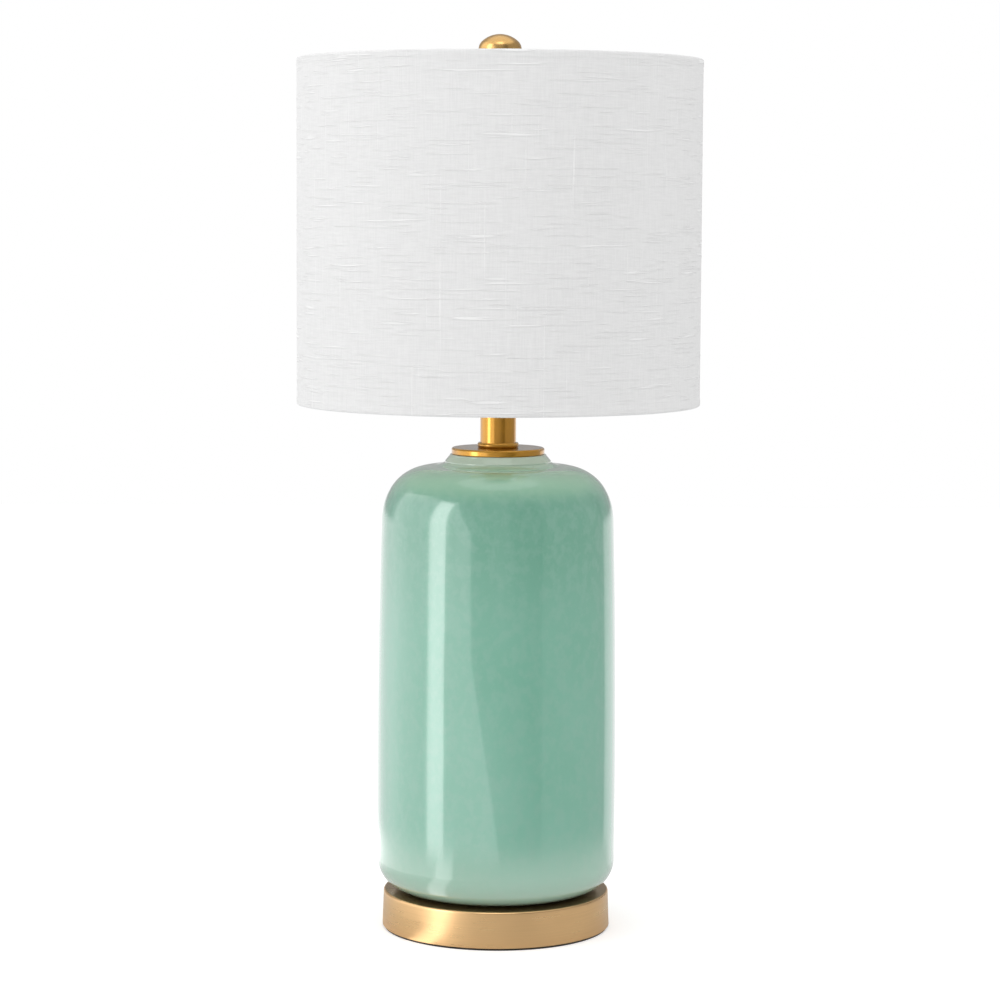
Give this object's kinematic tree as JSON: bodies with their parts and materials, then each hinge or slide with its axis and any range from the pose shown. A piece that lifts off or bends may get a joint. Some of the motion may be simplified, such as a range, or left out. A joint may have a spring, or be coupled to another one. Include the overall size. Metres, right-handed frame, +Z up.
{
  "type": "table lamp",
  "caption": "Table lamp with a tall straight-sided glazed ceramic jar body on a round satin gold base, a slim neck, a white linen drum shade held by a harp, and a flattened ball finial.",
  "frame": {"origin": "centre of the base's underside, on the surface it stands on", "axes": "+Z up along the lamp's axis, -Y towards the viewer of the picture, +X to the viewer's right"},
  "size_m": [0.2794, 0.2794, 0.6224],
  "materials": {
    "pad_felt": "matte dark brown felt",
    "base_gold": "satin, brushed round the base",
    "neck_gold": "satin",
    "finial_gold": "satin",
    "ballast_iron": "as cast",
    "plated_steel": "zinc plated",
    "grommet_plastic": "matte",
    "gasket_rubber": "matte",
    "celadon_glaze": "gloss green glaze, a little paler and darker in clouds",
    "harp_brass": "bright plated",
    "socket_brass": "satin plated",
    "liner_card": "bare",
    "dark_phenolic": "semi-gloss moulded",
    "bright_aluminium": "bright",
    "bulb_white": "satin white",
    "bulb_frost": "frosted white",
    "white_linen": "slubbed plain weave",
    "edge_linen": "rolled edge of the same cloth",
    "liner_styrene": "matte white sheet",
    "frame_white": "white powder coat"
  },
  "bodies": {
    "base": {"felt_pad": "pad_felt", "base_shell": "base_gold", "ballast_disc": "ballast_iron", "bottom_washer": "plated_steel", "bottom_locknut": "plated_steel", "lamp_pipe": "plated_steel", "cord_grommet": "grommet_plastic", "jar_gasket": "gasket_rubber", "jar": "celadon_glaze", "neck_cap": "neck_gold", "neck_ring": "neck_gold", "neck_tube": "neck_gold", "neck_bushing": "neck_gold", "harp_saddle": "harp_brass", "top_locknut": "plated_steel", "socket_cap": "socket_brass", "socket_set_screw": "plated_steel", "socket_shell": "socket_brass", "socket_liner": "liner_card", "socket_insulator": "dark_phenolic", "socket_terminal_screws": "plated_steel", "socket_screw_shell": "bright_aluminium", "socket_center_contact": "harp_brass"},
    "switch_key": {"switch_shaft": "plated_steel", "switch_knob": "dark_phenolic"},
    "bulb": {"bulb_tip_contact": "plated_steel", "bulb_tip_insulator": "dark_phenolic", "bulb_screw_cap": "bright_aluminium", "bulb_housing": "bulb_white", "bulb_light_board": "bright_aluminium", "bulb_diffuser": "bulb_frost"},
    "harp": {"harp_bow": "harp_brass", "harp_foot_left": "harp_brass", "harp_foot_right": "harp_brass", "harp_top_block": "harp_brass", "harp_stud": "harp_brass"},
    "ferrule_left": {"harp_ferrule_left": "harp_brass"},
    "ferrule_right": {"harp_ferrule_right": "harp_brass"},
    "shade": {"shade_linen": "white_linen", "shade_liner": "liner_styrene", "shade_top_edge": "edge_linen", "shade_bottom_edge": "edge_linen", "shade_top_ring": "frame_white", "shade_bottom_ring": "frame_white", "spider_hub": "frame_white", "spider_arm_back": "frame_white", "spider_arm_left": "frame_white", "spider_arm_right": "frame_white"},
    "finial": {"finial": "finial_gold"}
  },
  "joints": [
    {"name": "switch_turn", "type": "hinge", "parent": "base", "child": "switch_key", "pos_m": [0, -0.029, 0.4015], "axis": [0, -1, 0], "continuous": true},
    {"name": "bulb_turn", "type": "hinge", "parent": "base", "child": "bulb", "pos_m": [0, 0, 0.43], "axis": [0, 0, 1], "continuous": true},
    {"name": "harp_lift", "type": "slide", "parent": "base", "child": "harp", "axis": [0, 0, 1], "range_m": [0, 0.024]},
    {"name": "ferrule_left_lift", "type": "slide", "parent": "harp", "child": "ferrule_left", "axis": [0, 0, 1], "range_m": [0, 0.012]},
    {"name": "ferrule_right_lift", "type": "slide", "parent": "harp", "child": "ferrule_right", "axis": [0, 0, 1], "range_m": [0, 0.012]},
    {"name": "shade_turn", "type": "hinge", "parent": "harp", "child": "shade", "pos_m": [0, 0, 0.592], "axis": [0, 0, 1], "continuous": true},
    {"name": "finial_turn", "type": "hinge", "parent": "harp", "child": "finial", "pos_m": [0, 0, 0.612], "axis": [0, 0, 1], "continuous": true}
  ]
}
